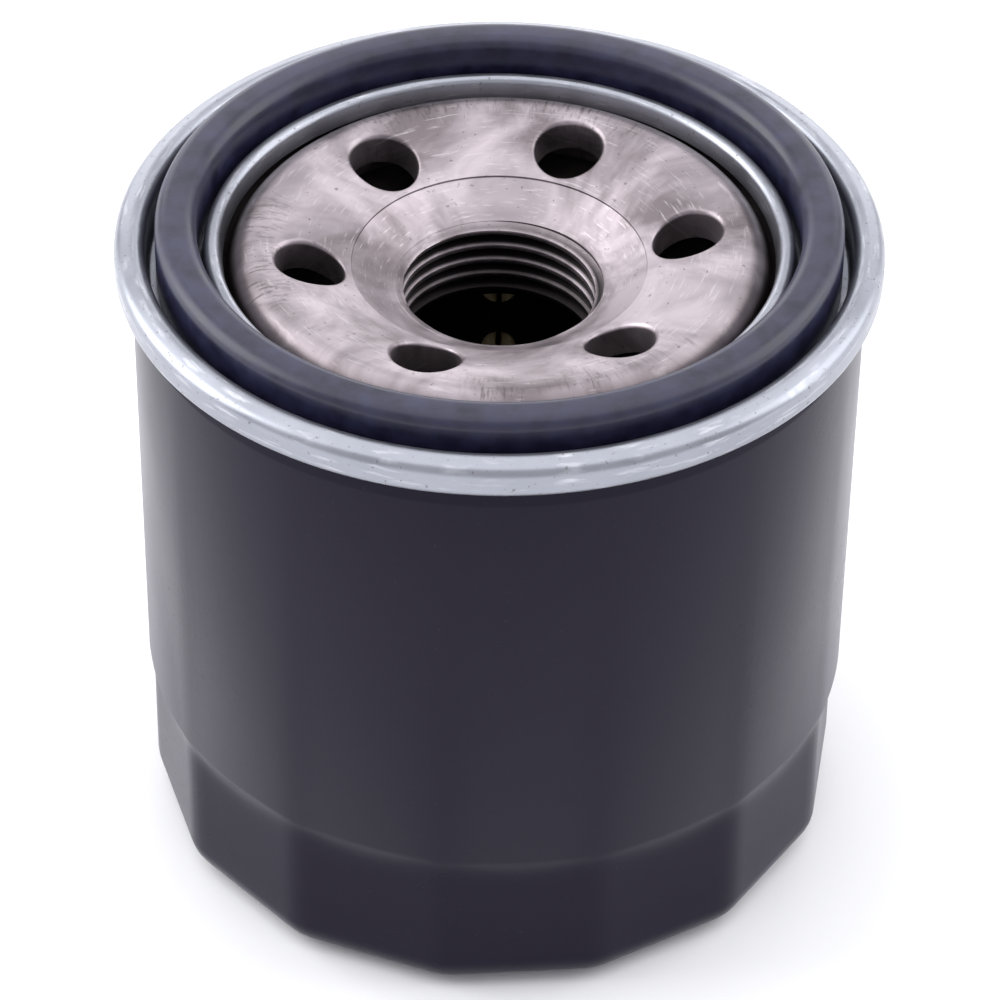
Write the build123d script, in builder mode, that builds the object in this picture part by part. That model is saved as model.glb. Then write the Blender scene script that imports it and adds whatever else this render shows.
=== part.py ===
from build123d import *
import os
from math import asin, atan, atan2, copysign, cos, degrees, pi, radians, sin, tan

os.makedirs("parts", exist_ok=True)

# A spin-on oil filter. Z is its axis and points out of the threaded end, and z = 0 is the plane
# that the closed end stands on. All sizes are in millimetres and all angles in degrees.

# ---------------------------------------------------------------- driving sizes
# canister: deep-drawn steel cup with wrench flats round its closed end
body_radius = 33.0
body_height = 64.0            # closed end to the crest of the rolled seam
can_sheet = 0.40
flute_count = 14
flute_turn = -98.2            # where the first corner between two flats stands
flute_depth = 1.2             # plain wall to the middle of a flat
flute_top = 17.2              # where the plain wall begins
flute_slope_height = 2.1      # height of the sloped band over a flat
flute_corner_round = 5.0
closed_end_round = 3.5
panel_radius = 15.0           # raised middle panel of the closed end
panel_rise = 1.0
panel_run = 1.2               # width of the slope round the panel
panel_round = 1.0

# rolled double seam between the canister's mouth and the lid
lid_sheet = 0.60
seam_height = 3.8
seam_play = 0.05              # between each two layers of the seam
seam_crest_fall = 1.0         # the crest slopes down to the outside by this much
seam_crest_round = 1.1
mouth_neck_in = 0.25          # the mouth is drawn in by this much
mouth_neck_height = 1.0
mouth_neck_round = 1.0
mouth_neck_drop = 4.8         # seam crest down to the end of that step
hook_flat = 0.05              # between the two bends of the body hook
body_hook_gap = 0.25          # body hook's edge to the fold under it
compound_width = 0.40
compound_height = 0.20

# gasket and the groove that the lid forms for it
gasket_width = 3.7
gasket_height = 5.85
gasket_round = 1.2
gasket_foot_round = 0.4
gasket_outer_play = 0.9
gasket_inner_play = 0.6
groove_depth = 4.3            # seam crest to the groove's floor
groove_round = 0.5
flange_height = 2.9           # groove floor to the crest of the folded inner flange
flange_gap = 0.10             # between the flange's two legs
flange_lean = 0.4             # the inner leg leans inwards by this much
flange_leg = 1.9              # its height

# base plate: thick stamping with a drawn, tapped neck
plate_sheet = 2.9
plate_edge_play = 1.15        # plate edge to the canister's mouth
plate_edge_round = 0.4
plate_foot_round = 0.8
plate_shoulder_round = 2.6
plate_inside_round = 0.8
plate_corner_round = 1.8
shoulder_play = 0.45          # lid flange to the plate's shoulder
dish_inner_angle = 21.5       # slope of the dish beside the coined ring
dish_outer_angle = 8.0        # and beside the shoulder
dish_bend_shift = 0.8         # bend between the slopes, inwards from half-way
dish_bend_round = 20.0
dish_straight = 0.1           # least straight stretch between two bends of the underside
ring_lift = 0.8               # coined ring above the plate's seat under the lid
ring_margin = 3.775           # thread's major radius to the coined ring
ring_step = 0.18
funnel_angle = 31.0
inlet_count = 6
inlet_radius = 3.1
inlet_turn = 8.5
inlet_margin = 3.85           # coined ring to the inlet holes' circle

# stud thread 3/4-16 UNF
thread_major_radius = 9.525
thread_pitch = 1.5875
thread_length = 8.0
thread_land = 0.4             # plain wall left under the last groove
thread_lead_in = 0.6          # lead-in chamfer outside the major radius
thread_lead_in_angle = 26.0
neck_wall = 2.6               # outside the major radius
neck_end_round = 0.8
neck_root_round = 1.5

# element spring, plain ground ends
spring_wire = 2.0
spring_radius = 18.0
spring_height = 10.0
spring_turns = 3.1

# filter element
end_cap_sheet = 0.40
end_cap_rim = 4.0
end_cap_bend = 0.6            # inside radius
element_gap = 2.7             # end cap to the inside of the flats
neck_reach = 3.3              # the neck's end stands this far into the element
collar_length = 3.0
bond_depth = 1.4
bond_play = 0.10
pleat_count = 44
paper = 0.65
pleat_fold_radius = 0.55      # middle of the paper
pleat_inner_play = 0.4
pleat_outer_play = 0.7
clip_sheet = 0.30
clip_depth = 4.0
clip_play = 0.15
tube_sheet = 0.40
tube_play = 0.10
tube_hole_radius = 1.6
tube_hole_count = 8
tube_hole_rows = 6

# anti-drainback valve: moulded rubber
drainback_play = 0.10         # round the neck
drainback_sleeve_wall = 1.2
drainback_bead_height = 1.8
drainback_bead_width = 2.4    # outside the sleeve
drainback_bead_bevel = 1.2
drainback_foot = 0.4          # bead's straight edge under the flap
drainback_flap = 1.1          # thickness, measured along Z
drainback_lip_play = 0.10
drainback_lip_reach = 4.6     # past the plate's inside wall
drainback_lip_width = 1.6
drainback_lip_rise = 0.4      # lip above the flap
drainback_round = 0.3

# bypass valve
seat_sheet = 0.60
seat_bend = 0.4               # inside radius
seat_hole_play = 0.1         # past the bend at the foot of the step
seat_opening_radius = 6.4
seat_step_radius = 12.9
seat_rise = 2.2
seat_lip = 1.0
seat_margin = 0.7             # flange outside the element spring
facing_radius = 8.2
facing_thickness = 1.0
disc_margin = 0.6             # disc outside its facing
disc_sheet = 0.8
rivet_radius = 1.5
rivet_play = 0.05
rivet_head_radius = 2.8
rivet_head = 0.8
rivet_head_round = 0.5
bypass_wire = 1.1
bypass_spring_radius = 5.6
bypass_spring_height = 10.0
bypass_spring_turns = 5.5
cage_sheet = 0.50
cage_bend = 0.5               # inside radius
cage_foot_play = 1.0          # foot's edge to the step of the seat
cage_foot = 1.4
cage_hole_radius = 3.5
cage_window_width = 10.0
cage_window_margin = 2.2
cage_window_round = 1.0
cage_windows = 4

# ---------------------------------------------------------------- levels and radii that follow
flat_radius = body_radius - flute_depth
flute_corner_radius = flat_radius / cos(pi / flute_count)

mouth_radius = body_radius - can_sheet - mouth_neck_in
chuck_radius = mouth_radius - seam_play - lid_sheet
cover_hook_radius = mouth_radius + can_sheet + seam_play
body_hook_radius = cover_hook_radius + lid_sheet + seam_play + can_sheet
seam_radius = body_hook_radius + seam_play + lid_sheet
seam_bottom = body_height - seam_height
crest_fall_angle = atan(seam_crest_fall / (seam_radius - chuck_radius))
hook_middle = (mouth_radius + body_hook_radius) / 2
hook_bend = (body_hook_radius - mouth_radius - hook_flat) / 2
hook_fall = (hook_middle - chuck_radius) * tan(crest_fall_angle)
hook_drop = (lid_sheet + seam_play + hook_bend) / cos(crest_fall_angle)
hook_level = body_height - hook_fall - hook_drop
hook_top = hook_level + hook_bend
cover_hook_top = hook_level - seam_play
body_hook_end = seam_bottom + lid_sheet + body_hook_gap
mouth_level = body_height - mouth_neck_drop
neck_in_level = mouth_level - mouth_neck_height
form_top = neck_in_level - 2.0

groove_floor = body_height - groove_depth
gasket_outer_radius = chuck_radius - gasket_outer_play
gasket_inner_radius = gasket_outer_radius - gasket_width
gasket_top = groove_floor + gasket_height
flange_radius = gasket_inner_radius - gasket_inner_play
flange_top = groove_floor + flange_height
leg_top_radius = flange_radius - 2 * lid_sheet - flange_gap
leg_end_radius = leg_top_radius - flange_lean
flange_bend = lid_sheet + flange_gap / 2

plate_seat = groove_floor - lid_sheet
plate_radius = mouth_radius - plate_edge_play
shoulder_radius = leg_end_radius - shoulder_play
plate_inside_radius = shoulder_radius - plate_sheet
ring_radius = thread_major_radius + ring_margin
ring_level = plate_seat + ring_lift
inner_slope = tan(radians(dish_inner_angle))
outer_slope = tan(radians(dish_outer_angle))
dish_bend_radius = (ring_radius + shoulder_radius) / 2 - dish_bend_shift
dish_bend_level = ring_level + (dish_bend_radius - ring_radius) * inner_slope
crest_level = dish_bend_level + (shoulder_radius - dish_bend_radius) * outer_slope
dish_half_bend = radians(dish_inner_angle - dish_outer_angle) / 2
dish_middle_slope = radians(dish_inner_angle + dish_outer_angle) / 2
under_bend_radius = dish_bend_radius + plate_sheet * sin(dish_middle_slope) / cos(dish_half_bend)
under_slope_run = (plate_inside_radius - under_bend_radius) / cos(radians(dish_outer_angle))
inside_bend_run = plate_inside_round * tan(radians(90 + dish_outer_angle) / 2)
dish_bend_room = under_slope_run - inside_bend_run - dish_straight
dish_bend_limit = dish_bend_room / tan(dish_half_bend)
dish_round = min(dish_bend_round, plate_sheet + dish_bend_limit)
lead_in_radius = thread_major_radius + thread_lead_in
funnel_fall = (ring_radius - lead_in_radius) * tan(radians(funnel_angle))
lead_in_level = ring_level - ring_step - funnel_fall
thread_depth = 5 / 8 * thread_pitch * cos(radians(30))
thread_minor_radius = thread_major_radius - thread_depth
lead_in_fall = (lead_in_radius - thread_minor_radius) * tan(radians(thread_lead_in_angle))
thread_top = lead_in_level - lead_in_fall
neck_bottom = thread_top - thread_length
neck_radius = thread_major_radius + neck_wall
neck_root = ring_level - (ring_radius - neck_radius) * inner_slope
neck_root_underside = neck_root - plate_sheet / cos(radians(dish_inner_angle))
inlet_circle = ring_radius + inlet_margin

spring_top = can_sheet + spring_height
lower_cap_bottom = spring_top + seat_sheet
upper_cap_top = neck_bottom + neck_reach
end_cap_radius = flat_radius - can_sheet - element_gap
sleeve_radius = neck_radius + drainback_play
collar_radius = sleeve_radius + drainback_sleeve_wall
collar_end = upper_cap_top - collar_length
tube_inner_radius = collar_radius + end_cap_sheet + tube_play
tube_radius = tube_inner_radius + tube_sheet
tube_bottom = lower_cap_bottom + end_cap_sheet
tube_top = upper_cap_top - end_cap_sheet - end_cap_bend
bond_inner_radius = tube_radius + bond_play
bond_radius = end_cap_radius - end_cap_sheet
media_bottom = tube_bottom + bond_depth
media_top = upper_cap_top - end_cap_sheet - bond_depth
pleat_inner_radius = bond_inner_radius + pleat_inner_play
pleat_outer_radius = bond_radius - pleat_outer_play

bead_radius = collar_radius + drainback_bead_width
bead_top = upper_cap_top + drainback_bead_height
lip_radius = plate_inside_radius + drainback_lip_reach
lip_top = plate_seat - plate_sheet - drainback_lip_play

seat_flange_radius = spring_radius + spring_wire / 2 + seat_margin
seat_shelf = lower_cap_bottom + seat_rise
seat_top = seat_shelf + seat_lip
disc_bottom = seat_top + facing_thickness
disc_top = disc_bottom + disc_sheet
disc_radius = facing_radius + disc_margin
cage_foot_radius = seat_step_radius - cage_foot_play
cage_radius = cage_foot_radius - cage_foot
cage_top = disc_top + bypass_spring_height + cage_sheet


# ---------------------------------------------------------------- shapes used more than once
def parallel(path, bends, distance):
    """The path moved to its left by a distance, with the radius that each bend then has."""
    points = [Vector(*point) for point in path]
    runs = [(end - start).normalized() for start, end in zip(points, points[1:])]
    lefts = [Vector(-run.Y, run.X) for run in runs]
    moved = [points[0] + lefts[0] * distance]
    moved_bends = []
    for point, bend, before, after in zip(points[1:], bends, lefts, lefts[1:]):
        moved.append(point + (before + after) * (distance / (1 + before.dot(after))))
        moved_bends.append(bend - distance * copysign(1, before.cross(after).Z))
    moved.append(points[-1] + lefts[-1] * distance)
    return moved, moved_bends


def sheet_section(path, bends, thickness):
    """Section of a bent sheet. The path is one face, and the other face lies to its left."""
    moved, moved_bends = parallel(path, bends, thickness)
    corners = [*path, *reversed(moved)]
    radii = [0, *bends, 0, 0, *reversed(moved_bends), 0]
    with BuildSketch() as section:
        with BuildLine():
            FilletPolyline(*corners, radius=radii, close=True)
        make_face()
    return section.sketch


def can_form(inset):
    """Solid inside the canister's outer face, taken in by inset, up to the drawn-in mouth."""
    end = [
        (0, panel_rise),
        (panel_radius, panel_rise),
        (panel_radius + panel_run, 0),
        (flute_corner_radius, 0),
        (flute_corner_radius, flute_top),
    ]
    end_bends = [panel_round, panel_round + can_sheet, closed_end_round]
    slope_bottom = flute_top - 2 * flute_slope_height
    wall = [
        (body_radius - 2 * flute_depth, slope_bottom),
        (body_radius, flute_top),
        (body_radius, form_top),
    ]
    end_line, end_radii = parallel(end, end_bends, inset)
    wall_line, _ = parallel(wall, [0], inset)
    with BuildPart() as form:
        with BuildSketch():
            RegularPolygon(
                flat_radius - inset, flute_count, major_radius=False, rotation=flute_turn
            )
            fillet(vertices(), radius=flute_corner_round - inset)
        extrude(amount=flute_top)
        with BuildSketch(Plane.XZ):
            with BuildLine():
                FilletPolyline(*end_line, (0, flute_top), radius=[0, *end_radii, 0, 0], close=True)
            make_face()
        revolve(axis=Axis.Z, mode=Mode.INTERSECT)
        with BuildSketch(Plane.XZ):
            with BuildLine():
                Polyline((0, wall_line[0].Y), *wall_line, (0, form_top), close=True)
            make_face()
        revolve(axis=Axis.Z)
    return form.part


def zigzag(shift):
    """Area inside the pleats' middle line, which is moved outwards by shift.

    Each fold is an arc round its own point, and the walls are tangent to both of their folds."""
    half_pleat = 180 / pleat_count
    outer_middle = Vector(pleat_outer_radius - paper / 2 - pleat_fold_radius, 0)
    inner_middle = Vector(pleat_inner_radius + paper / 2 + pleat_fold_radius, 0)
    reach = outer_middle - inner_middle.rotate(Axis.Z, half_pleat)
    wall_lean = degrees(atan2(-reach.Y, reach.X) - asin(2 * pleat_fold_radius / reach.length))
    outer_sweep = 180 - 2 * wall_lean
    inner_sweep = outer_sweep - 2 * half_pleat
    with BuildSketch() as inside:
        with BuildLine():
            for pleat in range(pleat_count):
                turn = 2 * half_pleat * pleat
                outer_fold = CenterArc(
                    outer_middle.rotate(Axis.Z, turn),
                    pleat_fold_radius + shift,
                    turn - outer_sweep / 2,
                    outer_sweep,
                )
                inner_fold = CenterArc(
                    inner_middle.rotate(Axis.Z, turn + half_pleat),
                    pleat_fold_radius - shift,
                    turn + half_pleat + 180 + inner_sweep / 2,
                    -inner_sweep,
                )
                Line(outer_fold @ 1, inner_fold @ 0)
                Line(inner_fold @ 1, (outer_fold @ 0).rotate(Axis.Z, 2 * half_pleat))
        make_face()
    return inside.sketch


def ground_spring(radius, wire, bottom, height, turns):
    """Compression spring whose two ends are ground flat at right angles to its axis."""
    with BuildPart() as spring:
        with BuildLine():
            coil = Helix(height / turns, height, radius, center=(0, 0, bottom))
        with BuildSketch(Plane(coil @ 0, x_dir=(1, 0, 0), z_dir=coil % 0)):
            Circle(wire / 2)
        sweep(is_frenet=True)
        with BuildSketch(Plane.XY.offset(bottom)):
            Circle(radius + wire)
        extrude(amount=height, mode=Mode.INTERSECT)
    return spring.part


# ---------------------------------------------------------------- housing
outer_form = can_form(0)
inner_form = can_form(can_sheet)
mouth_face = [
    (body_hook_radius, body_hook_end),
    (body_hook_radius, hook_top),
    (mouth_radius, hook_top),
    (mouth_radius, mouth_level),
    (body_radius - can_sheet, neck_in_level),
    (body_radius - can_sheet, form_top),
]
mouth_bends = [hook_bend, hook_bend, mouth_neck_round, mouth_neck_round]
with BuildPart() as canister:
    add(outer_form)
    add(inner_form, mode=Mode.SUBTRACT)
    with BuildSketch(Plane.XZ):
        add(sheet_section(mouth_face, mouth_bends, can_sheet))
    revolve(axis=Axis.Z)
canister.part.label = "canister"
export_step(canister.part, "parts/canister.step")

# The lid's visible face runs from the cover hook over the seam's crest, down the chuck wall, across
# the gasket's groove and over the folded inner flange.
lid_face = [
    (cover_hook_radius, cover_hook_top),
    (cover_hook_radius, seam_bottom),
    (seam_radius, seam_bottom),
    (seam_radius, body_height - seam_crest_fall),
    (chuck_radius, body_height),
    (chuck_radius, groove_floor),
    (flange_radius, groove_floor),
    (flange_radius, flange_top),
    (leg_top_radius, flange_top),
    (leg_end_radius, flange_top - flange_leg),
]
hook_round = lid_sheet + seam_play + can_sheet / 2
lid_bends = [
    hook_round,
    hook_round,
    seam_crest_round,
    seam_crest_round,
    groove_round,
    groove_round,
    flange_bend,
    flange_bend,
]
with BuildPart() as seaming_lid:
    with BuildSketch(Plane.XZ):
        add(sheet_section(lid_face, lid_bends, lid_sheet))
    revolve(axis=Axis.Z)
seaming_lid.part.label = "seaming_lid"
export_step(seaming_lid.part, "parts/seaming_lid.step")

# Sealing compound at the bottom of the body hook's fold, over the edge of the cover hook.
with BuildPart() as seam_compound:
    with BuildSketch(Plane.XZ):
        with Locations((hook_middle, cover_hook_top)):
            Rectangle(compound_width, compound_height, align=(Align.CENTER, Align.MIN))
    revolve(axis=Axis.Z)
seam_compound.part.label = "seam_compound"
export_step(seam_compound.part, "parts/seam_compound.step")

with BuildPart() as sealing_gasket:
    with BuildSketch(Plane.XZ):
        with BuildLine():
            FilletPolyline(
                (gasket_inner_radius, groove_floor),
                (gasket_outer_radius, groove_floor),
                (gasket_outer_radius, gasket_top),
                (gasket_inner_radius, gasket_top),
                radius=[gasket_foot_round, gasket_foot_round, gasket_round, gasket_round],
                close=True,
            )
        make_face()
    revolve(axis=Axis.Z)
sealing_gasket.part.label = "sealing_gasket"
export_step(sealing_gasket.part, "parts/sealing_gasket.step")

# The base plate is turned from one section, with a flat rim under the lid, a shoulder, a dished
# middle and a tapped neck. Its underside runs parallel to its top.
plate_top_face = [
    (plate_radius, plate_seat),
    (shoulder_radius, plate_seat),
    (shoulder_radius, crest_level),
    (dish_bend_radius, dish_bend_level),
    (neck_radius, neck_root),
]
plate_top_bends = [plate_foot_round, plate_shoulder_round, dish_round]
underside, underside_bends = parallel(plate_top_face, plate_top_bends, plate_sheet)

# The thread is cut as separate ring grooves of its own depth and pitch, not as one helix.
groove_root = thread_pitch / 16
groove_mouth = groove_root + thread_depth * tan(radians(30))
groove_count = int((thread_length - thread_land) / thread_pitch)
groove_levels = [thread_top - (turn + 0.6) * thread_pitch for turn in range(groove_count)]

with BuildPart() as base_plate:
    with BuildSketch(Plane.XZ):
        with BuildLine():
            FilletPolyline(
                (thread_minor_radius, neck_bottom),
                (neck_radius, neck_bottom),
                (neck_radius, neck_root_underside),
                underside[3],
                underside[2],
                underside[1],
                underside[0],
                (plate_radius, plate_seat),
                (shoulder_radius, plate_seat),
                (shoulder_radius, crest_level),
                (dish_bend_radius, dish_bend_level),
                (ring_radius, ring_level),
                (ring_radius, ring_level - ring_step),
                (lead_in_radius, lead_in_level),
                (thread_minor_radius, thread_top),
                radius=[
                    0,
                    neck_end_round,
                    neck_root_round,
                    underside_bends[2],
                    plate_inside_round,
                    plate_corner_round,
                    plate_edge_round,
                    plate_edge_round,
                    plate_foot_round,
                    plate_shoulder_round,
                    dish_round,
                    0,
                    0,
                    0,
                    0,
                ],
                close=True,
            )
        make_face()
    revolve(axis=Axis.Z)
    with BuildSketch(Plane.XY.offset(neck_bottom)):
        with PolarLocations(inlet_circle, inlet_count, start_angle=inlet_turn):
            Circle(inlet_radius)
    extrude(amount=body_height - neck_bottom, mode=Mode.SUBTRACT)
    with BuildSketch(Plane.XZ):
        with Locations(*[(thread_minor_radius, level) for level in groove_levels]):
            Polygon(
                (0, groove_mouth),
                (0, -groove_mouth),
                (thread_depth, -groove_root),
                (thread_depth, groove_root),
                align=None,
            )
    revolve(axis=Axis.Z, mode=Mode.SUBTRACT)
base_plate.part.label = "base_plate"
export_step(base_plate.part, "parts/base_plate.step")

with BuildPart() as element_spring:
    add(ground_spring(spring_radius, spring_wire, can_sheet, spring_height, spring_turns))
element_spring.part.label = "element_spring"
export_step(element_spring.part, "parts/element_spring.step")

# ---------------------------------------------------------------- filter element
cap_bend = end_cap_bend + end_cap_sheet
upper_cap_face = [
    (end_cap_radius, upper_cap_top - end_cap_rim),
    (end_cap_radius, upper_cap_top),
    (collar_radius, upper_cap_top),
    (collar_radius, collar_end),
]
with BuildPart() as upper_end_cap:
    with BuildSketch(Plane.XZ):
        add(sheet_section(upper_cap_face, [cap_bend, cap_bend], end_cap_sheet))
    revolve(axis=Axis.Z)
upper_end_cap.part.label = "upper_end_cap"
export_step(upper_end_cap.part, "parts/upper_end_cap.step")

lower_cap_face = [
    (seat_step_radius + seat_bend + seat_hole_play, lower_cap_bottom),
    (end_cap_radius, lower_cap_bottom),
    (end_cap_radius, lower_cap_bottom + end_cap_rim),
]
with BuildPart() as lower_end_cap:
    with BuildSketch(Plane.XZ):
        add(sheet_section(lower_cap_face, [cap_bend], end_cap_sheet))
    revolve(axis=Axis.Z)
lower_end_cap.part.label = "lower_end_cap"
export_step(lower_end_cap.part, "parts/lower_end_cap.step")

# The adhesive fills each cap's floor, and its outer corner follows the bend of the cap.
with BuildPart() as upper_bond_ring:
    with BuildSketch(Plane.XZ):
        with BuildLine():
            FilletPolyline(
                (bond_inner_radius, media_top),
                (bond_radius, media_top),
                (bond_radius, media_top + bond_depth),
                (bond_inner_radius, media_top + bond_depth),
                radius=[0, 0, end_cap_bend, 0],
                close=True,
            )
        make_face()
    revolve(axis=Axis.Z)
upper_bond_ring.part.label = "upper_bond_ring"
export_step(upper_bond_ring.part, "parts/upper_bond_ring.step")

with BuildPart() as lower_bond_ring:
    with BuildSketch(Plane.XZ):
        with BuildLine():
            FilletPolyline(
                (bond_inner_radius, tube_bottom),
                (bond_radius, tube_bottom),
                (bond_radius, media_bottom),
                (bond_inner_radius, media_bottom),
                radius=[0, end_cap_bend, 0, 0],
                close=True,
            )
        make_face()
    revolve(axis=Axis.Z)
lower_bond_ring.part.label = "lower_bond_ring"
export_step(lower_bond_ring.part, "parts/lower_bond_ring.step")

with BuildPart() as pleated_media:
    with BuildSketch(Plane.XY.offset(media_bottom)):
        add(zigzag(paper / 2))
        add(zigzag(-paper / 2), mode=Mode.SUBTRACT)
    extrude(amount=media_top - media_bottom)
pleated_media.part.label = "pleated_media"
export_step(pleated_media.part, "parts/pleated_media.step")

# A folded steel strip joins the ends of the paper over one of its outer folds.
clip_half_width = pleat_fold_radius + paper / 2 + clip_play
clip_end = pleat_outer_radius + clip_play
clip_face = [
    (pleat_outer_radius - clip_depth, clip_half_width),
    (clip_end, clip_half_width),
    (clip_end, -clip_half_width),
    (pleat_outer_radius - clip_depth, -clip_half_width),
]
clip_bend = clip_half_width - clip_play / 2
with BuildPart() as media_seam_clip:
    with BuildSketch(Plane.XY.offset(media_bottom)):
        add(sheet_section(clip_face, [clip_bend, clip_bend], clip_sheet))
    extrude(amount=media_top - media_bottom)
media_seam_clip.part.label = "media_seam_clip"
export_step(media_seam_clip.part, "parts/media_seam_clip.step")

hole_row_pitch = (collar_end - tube_bottom) / tube_hole_rows
hole_levels = [tube_bottom + (row + 0.5) * hole_row_pitch for row in range(tube_hole_rows)]
with BuildPart() as centre_tube:
    with BuildSketch(Plane.XY.offset(tube_bottom)):
        Circle(tube_radius)
        Circle(tube_inner_radius, mode=Mode.SUBTRACT)
    extrude(amount=tube_top - tube_bottom)
    with Locations(*[(0, 0, level) for level in hole_levels]):
        with PolarLocations(tube_radius, tube_hole_count):
            Cylinder(tube_hole_radius, 4 * tube_sheet, rotation=(0, 90, 0), mode=Mode.SUBTRACT)
centre_tube.part.label = "centre_tube"
export_step(centre_tube.part, "parts/centre_tube.step")

# The rubber valve has a sleeve between the neck and the end cap's collar, a bead that the cap
# carries, and a thin flap whose lip closes under the plate's rim, outside the inlet holes.
flap_foot = upper_cap_top + drainback_foot
lip_foot_radius = lip_radius - drainback_lip_width
lip_foot = lip_top - drainback_lip_rise - drainback_flap
flap_slope = (lip_foot - flap_foot) / (lip_foot_radius - bead_radius)
with BuildPart() as anti_drainback_valve:
    with BuildSketch(Plane.XZ):
        with BuildLine():
            FilletPolyline(
                (sleeve_radius, collar_end),
                (collar_radius, collar_end),
                (collar_radius, upper_cap_top),
                (bead_radius, upper_cap_top),
                (bead_radius, flap_foot),
                (lip_radius, lip_foot + flap_slope * drainback_lip_width),
                (lip_radius, lip_top),
                (lip_foot_radius, lip_top),
                (lip_foot_radius, lip_foot + drainback_flap),
                (bead_radius, flap_foot + drainback_flap),
                (bead_radius - drainback_bead_bevel, bead_top),
                (sleeve_radius, bead_top),
                radius=[
                    drainback_round,
                    drainback_round,
                    0,
                    0,
                    0,
                    drainback_round,
                    drainback_round,
                    drainback_round,
                    0,
                    drainback_round,
                    drainback_round,
                    drainback_round,
                ],
                close=True,
            )
        make_face()
    revolve(axis=Axis.Z)
anti_drainback_valve.part.label = "anti_drainback_valve"
export_step(anti_drainback_valve.part, "parts/anti_drainback_valve.step")

# ---------------------------------------------------------------- bypass valve
# Its seat is a stepped cup that the element spring holds under the lower end cap.
seat_face = [
    (seat_flange_radius, lower_cap_bottom),
    (seat_step_radius, lower_cap_bottom),
    (seat_step_radius, seat_shelf),
    (seat_opening_radius + seat_sheet, seat_shelf),
    (seat_opening_radius + seat_sheet, seat_top),
]
with BuildPart() as bypass_valve_seat:
    with BuildSketch(Plane.XZ):
        add(sheet_section(seat_face, [seat_bend, seat_bend + seat_sheet, seat_bend], seat_sheet))
    revolve(axis=Axis.Z)
bypass_valve_seat.part.label = "bypass_valve_seat"
export_step(bypass_valve_seat.part, "parts/bypass_valve_seat.step")

with BuildPart() as bypass_valve_facing:
    with BuildSketch(Plane.XY.offset(seat_top)):
        Circle(facing_radius)
        Circle(rivet_radius + rivet_play, mode=Mode.SUBTRACT)
    extrude(amount=facing_thickness)
bypass_valve_facing.part.label = "bypass_valve_facing"
export_step(bypass_valve_facing.part, "parts/bypass_valve_facing.step")

with BuildPart() as bypass_valve_disc:
    with BuildSketch(Plane.XY.offset(disc_bottom)):
        Circle(disc_radius)
        Circle(rivet_radius + rivet_play, mode=Mode.SUBTRACT)
    extrude(amount=disc_sheet)
bypass_valve_disc.part.label = "bypass_valve_disc"
export_step(bypass_valve_disc.part, "parts/bypass_valve_disc.step")

# The rivet holds the facing to the disc, with its factory head below and its formed head above.
with BuildPart() as bypass_valve_rivet:
    with BuildSketch(Plane.XZ):
        with BuildLine():
            FilletPolyline(
                (0, seat_top - rivet_head),
                (rivet_head_radius, seat_top - rivet_head),
                (rivet_head_radius, seat_top),
                (rivet_radius, seat_top),
                (rivet_radius, disc_top),
                (rivet_head_radius, disc_top),
                (rivet_head_radius, disc_top + rivet_head),
                (0, disc_top + rivet_head),
                radius=[0, rivet_head_round, 0, 0, 0, 0, rivet_head_round, 0],
                close=True,
            )
        make_face()
    revolve(axis=Axis.Z)
bypass_valve_rivet.part.label = "bypass_valve_rivet"
export_step(bypass_valve_rivet.part, "parts/bypass_valve_rivet.step")

with BuildPart() as bypass_spring:
    add(
        ground_spring(
            bypass_spring_radius,
            bypass_wire,
            disc_top,
            bypass_spring_height,
            bypass_spring_turns,
        )
    )
bypass_spring.part.label = "bypass_spring"
export_step(bypass_spring.part, "parts/bypass_spring.step")

# The cage is a cup that stands upside down on the seat's shelf, with a window in each side.
cage_face = [
    (cage_foot_radius, seat_shelf + cage_sheet),
    (cage_radius, seat_shelf + cage_sheet),
    (cage_radius, cage_top),
    (cage_hole_radius, cage_top),
]
window_height = cage_top - seat_shelf - 2 * cage_window_margin
with BuildPart() as bypass_valve_cage:
    with BuildSketch(Plane.XZ):
        add(sheet_section(cage_face, [cage_bend, cage_bend + cage_sheet], cage_sheet))
    revolve(axis=Axis.Z)
    window_middle = (seat_shelf + cage_top) / 2
    for window in range(cage_windows):
        outwards = Vector(1, 0).rotate(Axis.Z, (window + 0.5) * 360 / cage_windows)
        with BuildSketch(Plane((0, 0, window_middle), x_dir=(0, 0, 1), z_dir=outwards)):
            RectangleRounded(window_height, cage_window_width, cage_window_round)
        extrude(amount=seat_step_radius, mode=Mode.SUBTRACT)
bypass_valve_cage.part.label = "bypass_valve_cage"
export_step(bypass_valve_cage.part, "parts/bypass_valve_cage.step")
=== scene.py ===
from math import atan2, ceil, copysign, cos, degrees, exp, hypot, log, pi, radians, sin, sqrt, tan

import bmesh
import bpy
from mathutils import Matrix, Vector


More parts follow.
